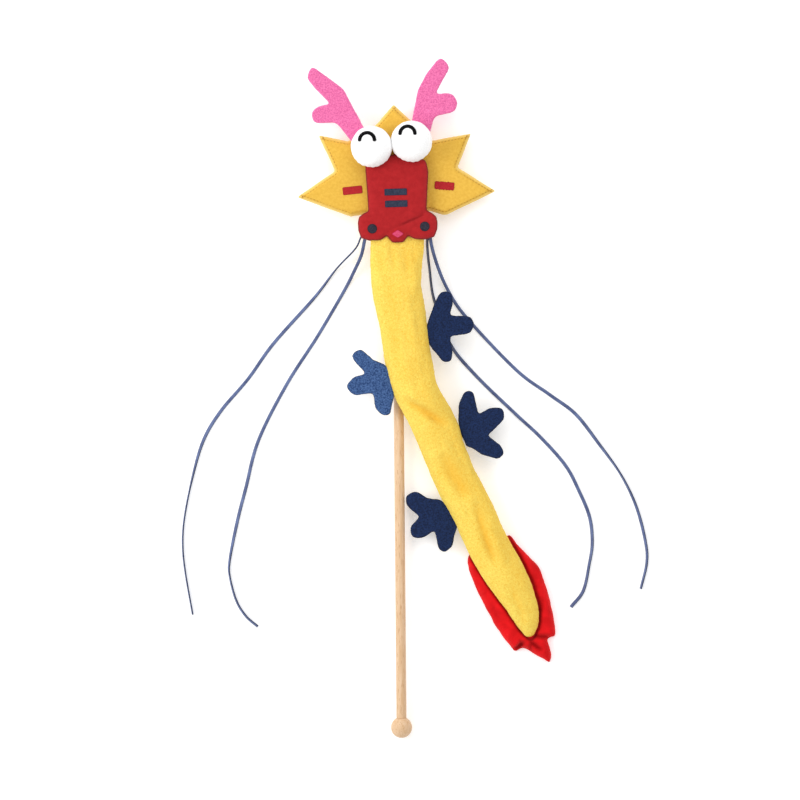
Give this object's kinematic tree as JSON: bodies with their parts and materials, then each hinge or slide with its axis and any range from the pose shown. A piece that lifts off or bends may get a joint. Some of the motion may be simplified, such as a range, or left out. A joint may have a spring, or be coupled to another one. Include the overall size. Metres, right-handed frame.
{
  "type": "dragon stick toy",
  "caption": "Soft dragon on a wooden stick with a ball end: spiky mane, round eyes, red snout, stuffed fleece body, felt feet, flame tail and long lace whiskers.",
  "frame": {"origin": "under the middle of the head on the stick's line, on the flat underside of the stick's pocket", "axes": "+Y along the stick towards the head's top, +Z out of the face, up off the table that the toy lies on"},
  "size_m": [0.3742, 0.5436, 0.0523],
  "materials": {
    "beech": "fine sanded beech, unvarnished",
    "mustard_cloth": "mustard felted cloth with topstitching",
    "collar_foam": "stiff foam sheet inside the mane",
    "pink_felt": "thick mottled pink wool felt",
    "red_felt": "crimson felted cloth with a dark cut edge",
    "navy_patch": "thin navy felt patch",
    "tongue_felt": "thin bright pink felt patch",
    "white_plush": "soft white brushed cloth",
    "black_thread": "black embroidery thread",
    "yellow_fleece": "lemon yellow fleece with a nubbly pile",
    "stuffing": "loose polyester fibre filling",
    "red_plush": "bright red short-pile plush",
    "navy_felt": "thick heathered navy felt",
    "denim_felt": "thick heathered denim-blue felt",
    "blue_lace": "flat navy-blue leather lace with dark cut edges"
  },
  "bodies": {
    "head": {"stick": "beech", "ball_knob": "beech", "stick_sleeve": "mustard_cloth", "mane_back": "mustard_cloth", "mane_core": "collar_foam", "mane_front": "mustard_cloth", "mane_bar_left": "red_felt", "mane_bar_right": "red_felt", "antler_root_left": "pink_felt", "antler_root_right": "pink_felt", "eye_left": "white_plush", "eye_right": "white_plush", "eye_arc_left": "black_thread", "eye_arc_right": "black_thread", "snout_back": "red_felt", "snout_filling": "stuffing", "snout_front": "red_felt", "snout_bar_upper": "navy_patch", "snout_bar_lower": "navy_patch", "nostril_left": "navy_patch", "nostril_right": "navy_patch", "tongue": "tongue_felt", "neck_end": "yellow_fleece", "whisker_outer_left": "blue_lace", "whisker_inner_left": "blue_lace", "whisker_outer_right": "blue_lace", "whisker_inner_right": "blue_lace"},
    "neck": {"body_fleece_1": "yellow_fleece", "body_stuffing_1": "stuffing"},
    "body_front": {"body_fleece_2": "yellow_fleece", "body_stuffing_2": "stuffing"},
    "body_middle": {"body_fleece_3": "yellow_fleece", "body_stuffing_3": "stuffing"},
    "body_rear": {"body_fleece_4": "yellow_fleece", "body_stuffing_4": "stuffing"},
    "tail": {"body_fleece_5": "yellow_fleece", "body_stuffing_5": "stuffing", "tail_fin": "red_plush"},
    "antler_left": {"antler_left": "pink_felt"},
    "antler_right": {"antler_right": "pink_felt"},
    "foot_right_front": {"foot_right_front": "navy_felt"},
    "foot_left_front": {"foot_left_front": "denim_felt"},
    "foot_right_rear": {"foot_right_rear": "navy_felt"},
    "foot_left_rear": {"foot_left_rear": "navy_felt"}
  },
  "joints": [
    {"name": "neck_bend", "type": "hinge", "parent": "head", "child": "neck", "pos_m": [0, -0.0354, 0.022], "axis": [-1, 0, 0], "range_deg": [0, 50]},
    {"name": "front_bend", "type": "hinge", "parent": "neck", "child": "body_front", "pos_m": [0.00011, -0.07711, 0.02405], "axis": [-0.9906, -0.1369, 0], "range_deg": [0, 35]},
    {"name": "middle_bend", "type": "hinge", "parent": "body_front", "child": "body_middle", "pos_m": [0.01447, -0.1556, 0.0233], "axis": [-0.9128, -0.4084, 0], "range_deg": [0, 40]},
    {"name": "rear_bend", "type": "hinge", "parent": "body_middle", "child": "body_rear", "pos_m": [0.04761, -0.22887, 0.01192], "axis": [-0.8908, -0.4544, 0], "range_deg": [0, 40]},
    {"name": "tail_bend", "type": "hinge", "parent": "body_rear", "child": "tail", "pos_m": [0.07037, -0.27557, 0.01229], "axis": [-0.888, -0.4599, 0], "range_deg": [0, 40]},
    {"name": "antler_left_flex", "type": "hinge", "parent": "head", "child": "antler_left", "pos_m": [-0.038, 0.064, 0.0214], "axis": [0.9171, 0.3987, 0], "range_deg": [-15, 50], "stiffness_Nm_per_rad": 0.02},
    {"name": "antler_right_flex", "type": "hinge", "parent": "head", "child": "antler_right", "pos_m": [0.0215, 0.0668, 0.0214], "axis": [0.9799, -0.1994, 0], "range_deg": [-15, 50], "stiffness_Nm_per_rad": 0.02},
    {"name": "foot_right_front_flap", "type": "hinge", "parent": "body_front", "child": "foot_right_front", "pos_m": [0.0255, -0.104, 0.024], "axis": [0.1353, -0.9908, 0], "range_deg": [-20, 75], "stiffness_Nm_per_rad": 0.01},
    {"name": "foot_left_front_flap", "type": "hinge", "parent": "body_front", "child": "foot_left_front", "pos_m": [-0.0086, -0.1485, 0.0235], "axis": [-0.2455, 0.9694, 0], "range_deg": [-20, 75], "stiffness_Nm_per_rad": 0.01},
    {"name": "foot_right_rear_flap", "type": "hinge", "parent": "body_middle", "child": "foot_right_rear", "pos_m": [0.0502, -0.1852, 0.018], "axis": [0.3724, -0.9281, 0], "range_deg": [-20, 75], "stiffness_Nm_per_rad": 0.01},
    {"name": "foot_left_rear_flap", "type": "hinge", "parent": "body_rear", "child": "foot_left_rear", "pos_m": [0.03737, -0.25049, 0.0125], "axis": [-0.463, 0.8864, 0], "range_deg": [-12, 75], "stiffness_Nm_per_rad": 0.01}
  ]
}
